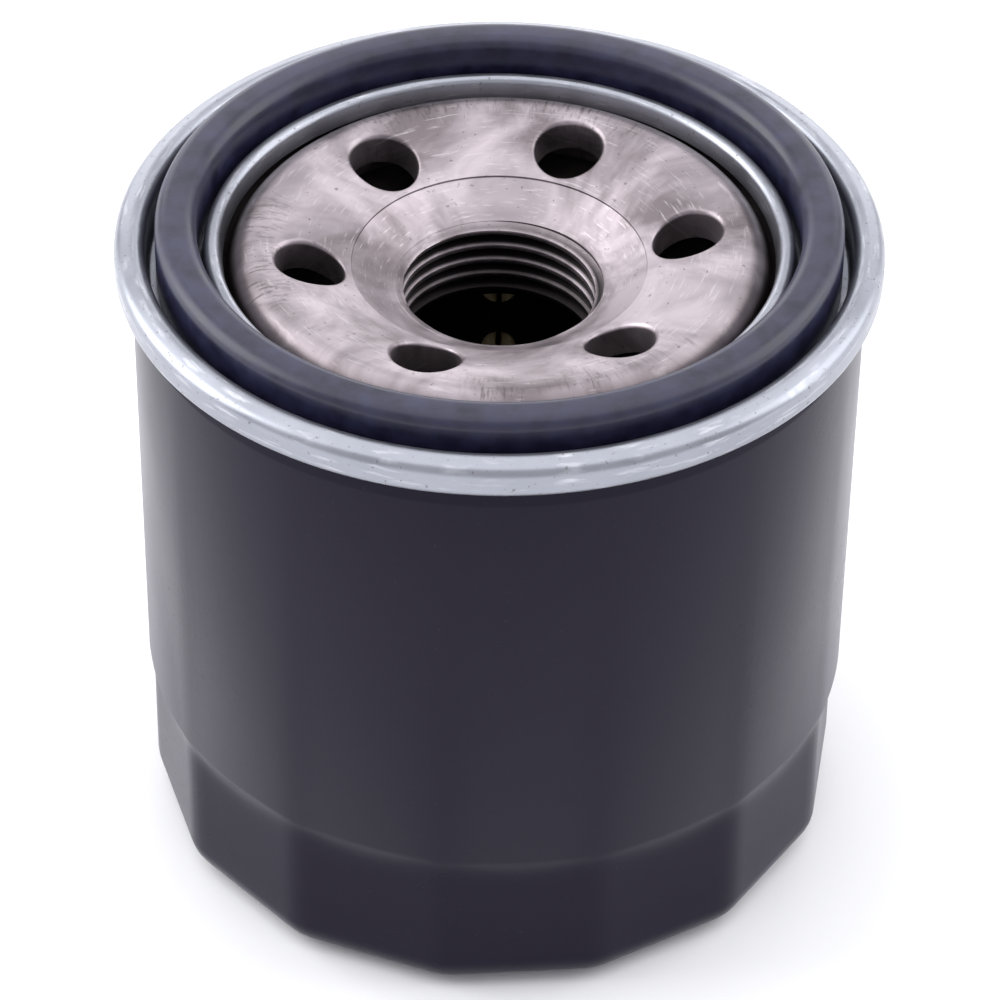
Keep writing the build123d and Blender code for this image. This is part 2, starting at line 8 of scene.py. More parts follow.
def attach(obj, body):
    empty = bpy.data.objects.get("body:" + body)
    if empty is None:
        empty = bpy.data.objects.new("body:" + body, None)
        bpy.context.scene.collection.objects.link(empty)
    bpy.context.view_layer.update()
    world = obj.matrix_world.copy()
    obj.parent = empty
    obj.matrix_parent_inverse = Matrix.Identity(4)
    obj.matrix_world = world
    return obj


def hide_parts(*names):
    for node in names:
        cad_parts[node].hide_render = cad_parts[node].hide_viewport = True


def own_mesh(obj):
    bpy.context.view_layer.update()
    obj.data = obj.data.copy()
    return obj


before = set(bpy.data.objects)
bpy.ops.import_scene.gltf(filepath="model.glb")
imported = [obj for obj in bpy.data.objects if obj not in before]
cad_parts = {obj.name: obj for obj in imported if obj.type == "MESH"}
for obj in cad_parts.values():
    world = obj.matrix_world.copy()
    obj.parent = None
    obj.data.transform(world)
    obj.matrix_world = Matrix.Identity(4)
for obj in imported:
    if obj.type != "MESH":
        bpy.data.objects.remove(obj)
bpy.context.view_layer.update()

# Spin-on oil filter. Z is its axis. Sizes are in millimetres and angles in degrees, and a mesh is
# brought to metres as it is finished.
METRES = 0.001
TURN_STEPS = 224              # steps of a full turn, a multiple of the flats

# ---------------------------------------------------------------- sizes of the pieces
body_radius = 33.0
body_height = 64.0
can_sheet = 0.40
flute_count = 14
flute_turn = -98.2
flute_depth = 1.2
flute_top = 17.2
flute_slope_height = 2.1
flute_corner_round = 5.0
flute_blend = 0.35            # softness of the edge between a flat and the sloped band over it
closed_end_round = 3.5
panel_radius = 15.0
panel_rise = 1.0
panel_run = 1.2
panel_round = 1.0
foot_radius = 24.0            # where the closed end is still plain, inside the flats' corners
flats_reach_in = 20.0         # the closed end follows the flats outside this radius
flats_full_run = 8.0          # and follows them wholly this much further out
wall_ring_start = 6.0         # rings of points on the wall, close enough for the sloped bands
wall_ring_gap = 0.9
wall_ring_count = 13

mouth_radius = 32.35
mouth_level = 59.2
neck_in_level = 58.2
mouth_round = 1.0
seam_play = 0.05
hook_flat = 0.05
body_hook_gap = 0.25          # body hook's edge to the fold under it

lid_sheet = 0.60
cover_hook_top = 62.1
seam_bottom = 60.2
crest_fall = 1.0
crest_round = 1.1
groove_floor = 59.7
groove_round = 0.5
flange_radius = 26.5
flange_top = 62.6
flange_gap = 0.10
flange_lean = 0.4
flange_leg = 1.9

gasket_inner_radius = 27.1
gasket_outer_radius = 30.8
gasket_top = 65.55
gasket_round = 1.2
gasket_foot_round = 0.4

plate_sheet = 2.9
plate_seat = 59.1
plate_radius = 31.2
plate_edge_round = 0.4
plate_foot_round = 0.8
plate_shoulder_round = 2.6
plate_inside_round = 0.8
plate_corner_round = 1.8
shoulder_radius = 24.35
dish_bend_radius = 18.025
dish_round = 17.0
dish_inner_angle = 21.5
dish_outer_angle = 8.0
ring_radius = 13.3
ring_level = 59.9
ring_step = 0.18
ring_step_run = 0.02
ring_edge_round = 0.12
inlet_count = 6
inlet_radius = 3.1
inlet_circle = 17.15
inlet_turn = 8.5
inlet_edge_round = 0.5

thread_major_radius = 9.525
thread_minor_radius = 8.666
thread_pitch = 1.5875
thread_crest_flat = 0.34      # width of the ridge at its crest
thread_top = 57.101
lead_in_radius = 10.125
lead_in_level = 57.81
neck_bottom = 49.101
neck_radius = 12.125
neck_end_round = 0.8
neck_root_round = 1.5
bore_end_round = 0.2
thread_half_angle = 30.0
ridge_overlap = 0.12          # the ridge's root inside the bore's wall
ridge_start_gap = 0.25        # neck's end to the ridge's lower side
ridge_steps = 96              # steps of one turn
ridge_highest = 57.49         # the ridge ends under the chamfer's outer edge

# levels and radii that follow
chuck_radius = mouth_radius - seam_play - lid_sheet
cover_hook_radius = mouth_radius + can_sheet + seam_play
seam_radius = cover_hook_radius + 2 * lid_sheet + 2 * seam_play + can_sheet
lead_in_slope = (lead_in_level - thread_top) / (lead_in_radius - thread_minor_radius)


# ---------------------------------------------------------------- outlines
def parallel(path, bends, distance):
    """The path moved to its left by a distance, with the radius that each bend then has."""
    points = [Vector(point) for point in path]
    runs = [(end - start).normalized() for start, end in zip(points, points[1:])]
    lefts = [Vector((-run.y, run.x)) for run in runs]
    moved = [points[0] + lefts[0] * distance]
    moved_bends = []
    for point, bend, before, after in zip(points[1:], bends, lefts, lefts[1:]):
        moved.append(point + (before + after) * (distance / (1 + before.dot(after))))
        moved_bends.append(bend - distance * copysign(1, before.cross(after)))
    moved.append(points[-1] + lefts[-1] * distance)
    return [tuple(point) for point in moved], moved_bends


def rounded(corners, radii, finest=7.0):
    """Points of a line through the corners, where each corner is an arc of its own radius."""
    line = []
    count = len(corners)
    for place, radius in enumerate(radii):
        corner = Vector(corners[place])
        if radius <= 0:
            line.append(tuple(corner))
            continue
        back = (Vector(corners[place - 1]) - corner).normalized()
        ahead = (Vector(corners[(place + 1) % count]) - corner).normalized()
        half_turn = (pi - back.angle(ahead)) / 2
        middle = corner + (back + ahead).normalized() * (radius / cos(half_turn))
        start = corner + back * (radius * tan(half_turn)) - middle
        sweep = 2 * half_turn * copysign(1, ahead.cross(back))
        segments = max(2, ceil(degrees(abs(sweep)) / finest))
        for step in range(segments + 1):
            turned = Matrix.Rotation(sweep * step / segments, 2) @ start
            line.append(tuple(middle + turned))
    return line


def sheet_outline(path, bends, thickness):
    """Closed outline of a bent sheet that lies to the left of its path."""
    moved, moved_bends = parallel(path, bends, thickness)
    corners = [*path, *reversed(moved)]
    return rounded(corners, [0, *bends, 0, 0, *reversed(moved_bends), 0])


# ---------------------------------------------------------------- meshes
def turned(outline, steps=TURN_STEPS, closed=True):
    """An outline of (radius, height) points spun once round Z."""
    mesh = bmesh.new()
    points = [mesh.verts.new((radius, 0, height)) for radius, height in outline]
    ends = points[1:] + points[:1] if closed else points[1:]
    edges = [mesh.edges.new(pair) for pair in zip(points, ends)]
    bmesh.ops.spin(
        mesh,
        geom=[*points, *edges],
        cent=(0, 0, 0),
        axis=(0, 0, 1),
        dvec=(0, 0, 0),
        angle=2 * pi,
        steps=steps,
        use_merge=True,
        use_normal_flip=False,
        use_duplicate=False,
    )
    bmesh.ops.remove_doubles(mesh, verts=mesh.verts, dist=1e-4)
    bmesh.ops.recalc_face_normals(mesh, faces=mesh.faces)
    return mesh


def finished(name, mesh, sharp_angle=38.0):
    """A new object from a mesh in millimetres, shaded smooth up to the sharp angle."""
    bmesh.ops.scale(mesh, vec=(METRES, METRES, METRES), verts=mesh.verts)
    data = bpy.data.meshes.new(name)
    mesh.to_mesh(data)
    mesh.free()
    data.shade_smooth()
    data.set_sharp_from_angle(angle=radians(sharp_angle))
    piece = bpy.data.objects.new(name, data)
    bpy.context.scene.collection.objects.link(piece)
    return piece


def flat_reach(angle):
    """Distance from the axis to the ring of flats, whose corners are rounded, at an angle."""
    half = pi / flute_count
    apothem = body_radius - flute_depth
    from_corner = abs((angle - radians(flute_turn) + half) % (2 * half) - half)
    from_middle = half - from_corner
    if apothem * tan(from_middle) <= (apothem - flute_corner_round) * tan(half):
        return apothem / cos(from_middle)
    centre = (apothem - flute_corner_round) / cos(half)
    across = centre * sin(from_corner)
    return centre * cos(from_corner) + sqrt(flute_corner_round**2 - across**2)


def body_reach(angle, height):
    """Distance from the axis to the canister's side, with a soft edge over each flat."""
    slope = flute_depth / flute_slope_height
    band = body_radius - max(0.0, flute_top - height) * slope
    flat = flat_reach(angle)
    ease = flute_blend * log(exp((band - flat) / flute_blend) + 1)
    return min(body_radius, flat + ease)


def canister_mesh():
    """Drawn cup with its raised panel, flats and drawn-in mouth, hooked into the seam."""
    hook_radius = mouth_radius + can_sheet + 2 * seam_play + lid_sheet
    hook_bend = (hook_radius + can_sheet - mouth_radius - hook_flat) / 2 - can_sheet
    crest_slope = crest_fall / (hook_radius + can_sheet + seam_play + lid_sheet - chuck_radius)
    hook_middle = (hook_radius + can_sheet + mouth_radius) / 2
    hook_level = body_height - (hook_middle - chuck_radius) * crest_slope
    hook_level -= (lid_sheet + seam_play) * hypot(1, crest_slope) + can_sheet
    wall_levels = [wall_ring_start + wall_ring_gap * ring for ring in range(wall_ring_count)]
    path = [
        (0, panel_rise),
        (panel_radius, panel_rise),
        (panel_radius + panel_run, 0),
        (foot_radius, 0),
        (body_radius, 0),
        *[(body_radius, level) for level in wall_levels],
        (body_radius, neck_in_level),
        (mouth_radius + can_sheet, mouth_level),
        (mouth_radius + can_sheet, hook_level),
        (hook_radius, hook_level),
        (hook_radius, seam_bottom + lid_sheet + body_hook_gap),
    ]
    bends = [panel_round, panel_round + can_sheet, 0, closed_end_round]
    bends += [0] * len(wall_levels) + [mouth_round, mouth_round + can_sheet, hook_bend, hook_bend]
    inner, inner_bends = parallel(path, bends, can_sheet)
    inner_bends = [radius if bend else 0 for radius, bend in zip(inner_bends, bends)]
    corners = [*path, *reversed(inner)]
    outline = rounded(corners, [0, *bends, 0, 0, *reversed(inner_bends), 0])
    mesh = turned(outline, closed=False)
    for point in mesh.verts:
        reach = hypot(point.co.x, point.co.y)
        share = min(1.0, max(0.0, (reach - flats_reach_in) / flats_full_run))
        if share and point.co.z < flute_top + wall_ring_gap / 2:
            side = body_reach(atan2(point.co.y, point.co.x), point.co.z)
            scale = 1 + (side / body_radius - 1) * share
            point.co.x *= scale
            point.co.y *= scale
    return mesh


def lid_mesh():
    """Lid from its hook in the seam, over the crest, the gasket's groove and the flange."""
    leg_top = flange_radius - 2 * lid_sheet - flange_gap
    path = [
        (cover_hook_radius, cover_hook_top),
        (cover_hook_radius, seam_bottom),
        (seam_radius, seam_bottom),
        (seam_radius, body_height - crest_fall),
        (chuck_radius, body_height),
        (chuck_radius, groove_floor),
        (flange_radius, groove_floor),
        (flange_radius, flange_top),
        (leg_top, flange_top),
        (leg_top - flange_lean, flange_top - flange_leg),
    ]
    hook_round = lid_sheet + seam_play + can_sheet / 2
    flange_bend = lid_sheet + flange_gap / 2
    bends = [hook_round, hook_round, crest_round, crest_round, groove_round, groove_round]
    return turned(sheet_outline(path, bends + [flange_bend] * 2, lid_sheet))


def gasket_mesh():
    """Square rubber ring with its upper edges well rounded."""
    corners = [
        (gasket_inner_radius, groove_floor),
        (gasket_outer_radius, groove_floor),
        (gasket_outer_radius, gasket_top),
        (gasket_inner_radius, gasket_top),
    ]
    return turned(rounded(corners, [gasket_foot_round] * 2 + [gasket_round] * 2))


def plate_top_path():
    inner_slope = tan(radians(dish_inner_angle))
    outer_slope = tan(radians(dish_outer_angle))
    bend_level = ring_level + (dish_bend_radius - ring_radius) * inner_slope
    crest_level = bend_level + (shoulder_radius - dish_bend_radius) * outer_slope
    return [
        (plate_radius, plate_seat),
        (shoulder_radius, plate_seat),
        (shoulder_radius, crest_level),
        (dish_bend_radius, bend_level),
        (neck_radius, ring_level - (ring_radius - neck_radius) * inner_slope),
    ]


def plate_mesh():
    """Thick stamping turned from one outline, with its bore at the thread's major radius."""
    top = plate_top_path()
    top_bends = [plate_foot_round, plate_shoulder_round, dish_round]
    under, under_bends = parallel(top, top_bends, plate_sheet)
    neck_root = top[4][1] - plate_sheet / cos(radians(dish_inner_angle))
    chamfer_fall = (lead_in_radius - thread_major_radius) * lead_in_slope
    corners = [
        (thread_major_radius, neck_bottom),
        (neck_radius, neck_bottom),
        (neck_radius, neck_root),
        under[3],
        under[2],
        under[1],
        under[0],
        *top[:4],
        (ring_radius, ring_level),
        (ring_radius - ring_step_run, ring_level - ring_step),
        (lead_in_radius, lead_in_level),
        (thread_major_radius, lead_in_level - chamfer_fall),
    ]
    radii = [bore_end_round, neck_end_round, neck_root_round, under_bends[2], plate_inside_round]
    radii += [plate_corner_round, plate_edge_round, plate_edge_round, *top_bends]
    radii += [ring_edge_round / 2, ring_edge_round / 2, ring_edge_round, 0]
    return turned(rounded(corners, radii))


def dish_level(radius):
    """Height of the plate's dished top at a radius."""
    top = plate_top_path()
    half_bend = radians(dish_inner_angle - dish_outer_angle) / 2
    run = dish_round * tan(half_bend)
    outer, inner = radians(dish_outer_angle), radians(dish_inner_angle)
    bend_radius, bend_level = top[3]
    if radius >= bend_radius + run * cos(outer):
        return bend_level + (radius - bend_radius) * tan(outer)
    if radius <= bend_radius - run * cos(inner):
        return bend_level + (radius - bend_radius) * tan(inner)
    centre_radius = bend_radius + run * cos(outer) + dish_round * sin(outer)
    centre_level = bend_level + run * sin(outer) - dish_round * cos(outer)
    return centre_level + sqrt(dish_round**2 - (radius - centre_radius) ** 2)


def inlet_cutter(turn):
    """Tool for one inlet hole, whose mouth flares along the dished top to a rolled edge."""
    below, above, steps = 9.0, 3.0, 56
    flare_run, flare_rise = 0.6, 0.12
    arc = [
        (
            inlet_radius + inlet_edge_round * (1 - cos(radians(angle))),
            inlet_edge_round * (sin(radians(angle)) - 1),
        )
        for angle in range(0, 81, 10)
    ]
    last_reach, last_depth = arc[-1]
    outline = [
        (0, -below),
        (inlet_radius, -below),
        (inlet_radius, -2 * inlet_edge_round),
        *arc,
        (last_reach + flare_run, last_depth + flare_rise),
        (last_reach + flare_run, above),
        (0, above),
    ]
    mesh = turned(outline, steps=steps, closed=False)
    centre = Vector((inlet_circle * cos(turn), inlet_circle * sin(turn), 0))
    for point in mesh.verts:
        point.co += centre
        point.co.z += dish_level(hypot(point.co.x, point.co.y))
    return mesh


def wound(mesh, faces, rise, angle, steps):
    """The faces swept round Z in steps, each of which climbs by a rise."""
    bmesh.ops.spin(
        mesh,
        geom=faces,
        cent=(0, 0, 0),
        axis=(0, 0, 1),
        dvec=(0, 0, rise),
        angle=angle,
        steps=steps,
        use_merge=False,
        use_normal_flip=False,
        use_duplicate=False,
    )


def ground(mesh, level, way):
    """The mesh cut flat at a level, without what lies above it, or below it if way is -1."""
    cut = bmesh.ops.bisect_plane(
        mesh,
        geom=[*mesh.verts, *mesh.edges, *mesh.faces],
        dist=1e-4,
        plane_co=(0, 0, level),
        plane_no=(0, 0, way),
        clear_outer=True,
        clear_inner=False,
    )
    rim = [item for item in cut["geom_cut"] if isinstance(item, bmesh.types.BMEdge)]
    bmesh.ops.holes_fill(mesh, edges=rim, sides=0)


def thread_ridge():
    """The stud thread's ridge, wound up the bore and cut back by the lead-in chamfer."""
    flank = tan(radians(thread_half_angle))
    depth = thread_major_radius - thread_minor_radius
    crest_half = thread_crest_flat / 2
    root_half = crest_half + depth * flank
    crest_round = 0.05
    outline = [
        (thread_major_radius + ridge_overlap, root_half + ridge_overlap * flank),
        (thread_major_radius, root_half),
        (thread_minor_radius + depth / 2, (root_half + crest_half) / 2),
        (thread_minor_radius + crest_round, crest_half + crest_round),
        (thread_minor_radius, crest_half - 0.06),
        (thread_minor_radius, 0),
    ]
    outline += [(radius, -level) for radius, level in reversed(outline[:-1])]
    steps = int((lead_in_level - neck_bottom) / thread_pitch * ridge_steps)
    start = neck_bottom + root_half + ridge_start_gap
    mesh = bmesh.new()
    points = [mesh.verts.new((radius, 0, start + level)) for radius, level in outline]
    face = mesh.faces.new(points)
    wound(mesh, [face], thread_pitch / ridge_steps, 2 * pi * steps / ridge_steps, steps)
    bmesh.ops.remove_doubles(mesh, verts=mesh.verts, dist=1e-5)
    ground(mesh, ridge_highest, 1)
    bmesh.ops.recalc_face_normals(mesh, faces=mesh.faces)
    for point in mesh.verts:
        reach = hypot(point.co.x, point.co.y)
        chamfer = thread_minor_radius + (point.co.z - thread_top) / lead_in_slope
        least = min(max(reach, chamfer), thread_major_radius + ridge_overlap)
        point.co.x *= least / reach
        point.co.y *= least / reach
    return mesh


def coil_spring(radius, wire, bottom, height, turns):
    """Compression spring wound round Z, with both ends ground flat."""
    steps_per_turn = 56
    steps = round(turns * steps_per_turn)
    mesh = bmesh.new()
    upright = Matrix.Translation((radius, 0, bottom)) @ Matrix.Rotation(pi / 2, 4, "X")
    ring = bmesh.ops.create_circle(
        mesh, cap_ends=True, segments=18, radius=wire / 2, matrix=upright
    )
    end = list({face for point in ring["verts"] for face in point.link_faces})
    wound(mesh, end, height / steps, 2 * pi * turns, steps)
    bmesh.ops.remove_doubles(mesh, verts=mesh.verts, dist=1e-4)
    ground(mesh, bottom, -1)
    ground(mesh, bottom + height, 1)
    bmesh.ops.recalc_face_normals(mesh, faces=mesh.faces)
    return mesh


def object_from(name, mesh):
    data = bpy.data.meshes.new(name)
    mesh.to_mesh(data)
    mesh.free()
    made = bpy.data.objects.new(name, data)
    bpy.context.scene.collection.objects.link(made)
    return made


def drilled(mesh, cutters):
    """The mesh with each cutter taken out of it."""
    blank = object_from("blank", mesh)
    tools = [object_from("tool", cutter) for cutter in cutters]
    for tool in tools:
        cut = blank.modifiers.new("cut", "BOOLEAN")
        cut.operation = "DIFFERENCE"
        cut.solver = "EXACT"
        cut.object = tool
    bpy.context.view_layer.update()
    seen = blank.evaluated_get(bpy.context.evaluated_depsgraph_get())
    result = bmesh.new()
    result.from_mesh(seen.to_mesh())
    seen.to_mesh_clear()
    for spare in [blank, *tools]:
        data = spare.data
        bpy.data.objects.remove(spare)
        bpy.data.meshes.remove(data)
    bmesh.ops.remove_doubles(result, verts=result.verts, dist=1e-4)
    return result


def joined(mesh, extra):
    """Both meshes in one."""
    spare = bpy.data.meshes.new("spare")
    extra.to_mesh(spare)
    extra.free()
    mesh.from_mesh(spare)
    bpy.data.meshes.remove(spare)
    return mesh


# ---------------------------------------------------------------- finishes
class Value:
    """A number, colour or vector that varies over a surface. Sums on numbers add Math nodes."""

    def __init__(self, finish, socket):
        self.finish = finish
        self.socket = socket

    def maths(self, operation, first, second):
        settings = {"operation": operation}
        return self.finish.add("ShaderNodeMath", settings, {0: first, 1: second})

    def __add__(self, other):
        return self.maths("ADD", self, other)

    def __sub__(self, other):
        return self.maths("SUBTRACT", self, other)

    def __rsub__(self, other):
        return self.maths("SUBTRACT", other, self)

    def __mul__(self, other):
        return self.maths("MULTIPLY", self, other)

    def __truediv__(self, other):
        return self.maths("DIVIDE", self, other)

    __radd__ = __add__
    __rmul__ = __mul__


class Finish:
    """One procedural material on a Principled surface."""

    def __init__(self, name, **constants):
        self.material = bpy.data.materials.new(name)
        self.material.use_nodes = True
        self.nodes = self.material.node_tree.nodes
        self.links = self.material.node_tree.links
        self.nodes.clear()
        self.surface = self.nodes.new("ShaderNodeBsdfPrincipled")
        self.output = self.nodes.new("ShaderNodeOutputMaterial")
        self.links.new(self.surface.outputs[0], self.output.inputs["Surface"])
        for name, value in constants.items():
            self.surface.inputs[name.replace("_", " ")].default_value = value
        self.place = self.add("ShaderNodeTexCoord", {}, {}, "Object")

    def add(self, kind, settings, values, output=0):
        """A node of a kind, with its settings made first, then its inputs. Gives one output."""
        node = self.nodes.new(kind)
        for name, setting in settings.items():
            if name == "stops":
                for stop, (position, grey) in zip(node.color_ramp.elements, setting):
                    stop.position = position
                    stop.color = (grey, grey, grey, 1)
            else:
                setattr(node, name, setting)
        for name, value in values.items():
            if isinstance(value, Value):
                self.links.new(value.socket, node.inputs[name])
            else:
                node.inputs[name].default_value = value
        return Value(self, node.outputs[output])

    def feed(self, **values):
        for name, value in values.items():
            self.links.new(value.socket, self.surface.inputs[name.replace("_", " ")])

    def noise(self, scale, detail=3.0, roughness=0.55, place=None, distortion=0.0):
        inputs = {
            "Vector": place or self.place,
            "Scale": scale,
            "Detail": detail,
            "Roughness": roughness,
            "Distortion": distortion,
        }
        return self.add("ShaderNodeTexNoise", {}, inputs)

    def between(self, value, low, high):
        """0 below low, 1 above high and a ramp between them."""
        inputs = {0: value, 1: low, 2: high, 3: 0.0, 4: 1.0}
        return self.add("ShaderNodeMapRange", {"clamp": True}, inputs)

    def mix(self, share, first, second):
        """A blend of two colours."""
        inputs = {0: share, 6: first, 7: second}
        return self.add("ShaderNodeMix", {"data_type": "RGBA"}, inputs, 2)

    def larger(self, first, second):
        return self.add("ShaderNodeMath", {"operation": "MAXIMUM"}, {0: first, 1: second})

    def axes(self):
        """X, Y, Z and the distance from the Z axis, in metres."""
        x, y, z = [
            self.add("ShaderNodeSeparateXYZ", {}, {0: self.place}, axis) for axis in range(3)
        ]
        reach = self.add("ShaderNodeMath", {"operation": "SQRT"}, {0: x * x + y * y})
        return x, y, z, reach

    def round_axis(self, across, along):
        """Coordinates that are long round Z and short across it, for scuffs made by turning."""
        x, y, z, reach = self.axes()
        inputs = {0: x / reach * along, 1: y / reach * along, 2: (reach + z) * across}
        return self.add("ShaderNodeCombineXYZ", {}, inputs)

    def bump(self, height, strength, distance):
        inputs = {"Strength": strength, "Distance": distance, "Height": height}
        self.feed(Normal=self.add("ShaderNodeBump", {}, inputs))


def colour(red, green, blue):
    return (red, green, blue, 1.0)


def painted_can():
    """Satin paint, nearly black with a violet cast, with faint orange peel and dust."""
    paint = Finish("painted_can", IOR=1.5, Specular_IOR_Level=0.12, Sheen_Weight=0.10)
    paint.surface.inputs["Sheen Roughness"].default_value = 0.32
    paint.surface.inputs["Sheen Tint"].default_value = colour(0.86, 0.80, 1.0)
    peel = paint.noise(1400, 2.0)
    broad = paint.noise(45, 3.0)
    dust = paint.between(paint.noise(2600, 2.0), 0.70, 0.76)
    tone = paint.mix(broad, colour(0.0072, 0.0052, 0.0150), colour(0.0110, 0.0086, 0.0200))
    paint.feed(
        Base_Color=paint.mix(dust * 0.15, tone, colour(0.10, 0.10, 0.12)),
        Roughness=0.26 + paint.between(broad, 0.3, 0.7) * 0.06 + dust * 0.2,
    )
    paint.bump(peel, 0.10, 0.00006)
    return paint.material


def plated_lid():
    """Bluish zinc plate, satin, scuffed round its axis and flecked."""
    plate = Finish("plated_lid", Metallic=0.92)
    scuffs = plate.noise(1.0, 3.0, place=plate.round_axis(2600, 9))
    cloud = plate.noise(160, 4.0)
    flecks = plate.between(plate.noise(2300, 2.0), 0.66, 0.72)
    tone = plate.mix(cloud, colour(0.25, 0.265, 0.30), colour(0.38, 0.39, 0.435))
    worn = plate.mix(plate.between(scuffs, 0.56, 0.72) * 0.5, tone, colour(0.66, 0.67, 0.71))
    plate.feed(
        Base_Color=plate.mix(flecks * 0.55, worn, colour(0.12, 0.10, 0.10)),
        Roughness=0.27 + plate.between(cloud, 0.3, 0.7) * 0.12 + flecks * 0.2,
    )
    plate.bump(scuffs + cloud, 0.12, 0.00004)
    return plate.material


def bare_plate():
    """Bare satin steel, smudged and scratched, with painted shade at its rim and streaky dirt near
    it, and painted shade down its bore.
    """
    steel = Finish("bare_plate", Metallic=0.95)
    scuffs = steel.noise(1.0, 3.0, place=steel.round_axis(3200, 7))
    smudge = steel.noise(95, 4.0, 0.6, distortion=0.6)
    grain = steel.noise(3600, 2.0)
    flecks = steel.between(steel.noise(1900, 2.0), 0.68, 0.73)
    cloudy = steel.between(smudge, 0.38, 0.64)
    tone = steel.mix(cloudy, colour(0.17, 0.145, 0.155), colour(0.46, 0.405, 0.435))
    worn = steel.mix(steel.between(scuffs, 0.58, 0.74) * 0.4, tone, colour(0.66, 0.62, 0.64))

    _, _, z, reach = steel.axes()

    def outside(radius, run):
        return steel.between(reach, radius * METRES, (radius + run) * METRES)

    def above(level, run):
        return steel.between(z, level * METRES, (level + run) * METRES)

    # Painted shade: a dark ring at the rim, where the plate runs in under the lid's flange. The
    # streaky patches near it are dirt.
    rim = outside(shoulder_radius - 1.9, 1.7)
    near_rim = outside(shoulder_radius - 6.0, 4.5)
    streak_noise = steel.noise(1.0, 4.0, 0.6, place=steel.round_axis(700, 60))
    streaks = steel.between(streak_noise, 0.50, 0.64)
    patch = steel.between(steel.noise(70, 2.0), 0.46, 0.60)
    rim_shade_and_streaks = steel.larger(rim * 0.85, near_rim * streaks * patch * 0.75)

    # Painted shade down the bore: below the mouth the steel off the thread's crests goes nearly
    # black, and deeper down the crests do too.
    in_bore = 1 - outside(lead_in_radius + 0.2, 0.3)
    below_mouth = 1 - above(thread_top - 0.3, 0.7)
    off_crest = outside(thread_minor_radius + 0.06, 0.29)
    deep = 1 - above(thread_top - 6.0, 3.6)
    bore_shade = in_bore * below_mouth * steel.larger(off_crest, deep)

    # The painted rim shade and the streaky dirt share one dark brown-grey.
    rim_darkened = steel.mix(rim_shade_and_streaks, worn, colour(0.07, 0.055, 0.055))
    flecked = steel.mix(flecks * 0.7, rim_darkened, colour(0.13, 0.11, 0.12))
    # The near-black colour here is the bore's painted shade.
    steel.feed(
        Base_Color=steel.mix(bore_shade * 0.97, flecked, colour(0.012, 0.010, 0.010)),
        Roughness=0.34 + steel.between(smudge, 0.35, 0.7) * 0.10 + grain * 0.05,
    )
    steel.bump(scuffs * 0.6 + grain * 0.5, 0.14, 0.00005)
    return steel.material


def rubber(name, dark, light, shine):
    """Moulded rubber with a mottled sheen."""
    moulded = Finish(name, IOR=1.5)
    mottle = moulded.noise(420, 4.0, 0.6)
    grain = moulded.noise(3000, 2.0)
    moulded.feed(
        Base_Color=moulded.mix(moulded.between(mottle, 0.35, 0.7), dark, light),
        Roughness=shine + moulded.between(mottle, 0.3, 0.7) * 0.14,
    )
    moulded.bump(mottle + grain * 0.4, 0.22, 0.00006)
    return moulded.material


def inner_metal(name, dark, light, rough, across=2400, metallic=0.95):
    """Plain mill-finish metal inside the canister, with drawing marks and an oil film."""
    metal = Finish(name, Metallic=metallic)
    marks = metal.noise(1.0, 3.0, place=metal.round_axis(across, 8))
    film = metal.noise(130, 4.0)
    metal.feed(
        Base_Color=metal.mix(film * 0.6 + marks * 0.4, dark, light),
        Roughness=rough + metal.between(film, 0.3, 0.7) * 0.12,
    )
    metal.bump(marks, 0.10, 0.00004)
    return metal.material


def filter_paper():
    """Resin-treated paper, creamy yellow, with fibres and small hollows."""
    paper = Finish("filter_paper", IOR=1.45)
    fibres = paper.noise(1500, 5.0, 0.7, distortion=1.2)
    cloud = paper.noise(180, 3.0)
    tone = paper.mix(cloud, colour(0.62, 0.50, 0.27), colour(0.74, 0.63, 0.38))
    strands = paper.between(fibres, 0.55, 0.75) * 0.4
    paper.feed(
        Base_Color=paper.mix(strands, tone, colour(0.45, 0.34, 0.16)),
        Roughness=0.82 + fibres * 0.12,
    )
    paper.bump(fibres, 0.35, 0.0001)
    return paper.material


def cured_paste(name, dark, light):
    """Adhesive or compound that set where it was poured."""
    paste = Finish(name, IOR=1.5)
    lumps = paste.noise(350, 3.0)
    bubbles = paste.between(paste.noise(1800, 2.0), 0.62, 0.70)
    paste.feed(
        Base_Color=paste.mix(lumps, dark, light),
        Roughness=0.45 + lumps * 0.15 + bubbles * 0.1,
    )
    paste.bump(lumps + bubbles * 0.4, 0.3, 0.0001)
    return paste.material


# ---------------------------------------------------------------- the pieces
inlet_turns = [radians(inlet_turn + 360 / inlet_count * place) for place in range(inlet_count)]
drilled_plate = drilled(plate_mesh(), [inlet_cutter(turn) for turn in inlet_turns])
new_pieces = [
    ("painted_canister", canister_mesh(), "canister", painted_can(), "painted_can"),
    ("rolled_seaming_lid", lid_mesh(), "seaming_lid", plated_lid(), "plated_lid"),
    (
        "moulded_gasket",
        gasket_mesh(),
        "sealing_gasket",
        rubber("gasket_rubber", colour(0.008, 0.008, 0.024), colour(0.020, 0.020, 0.054), 0.28),
        "gasket_rubber",
    ),
    (
        "tapped_base_plate",
        joined(drilled_plate, thread_ridge()),
        "base_plate",
        bare_plate(),
        "bare_plate",
    ),
]
for name, mesh, node, material, slot in new_pieces:
    piece = finished(name, mesh)
    piece.data.materials.append(material)
    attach(piece, "housing")
    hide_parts(node)

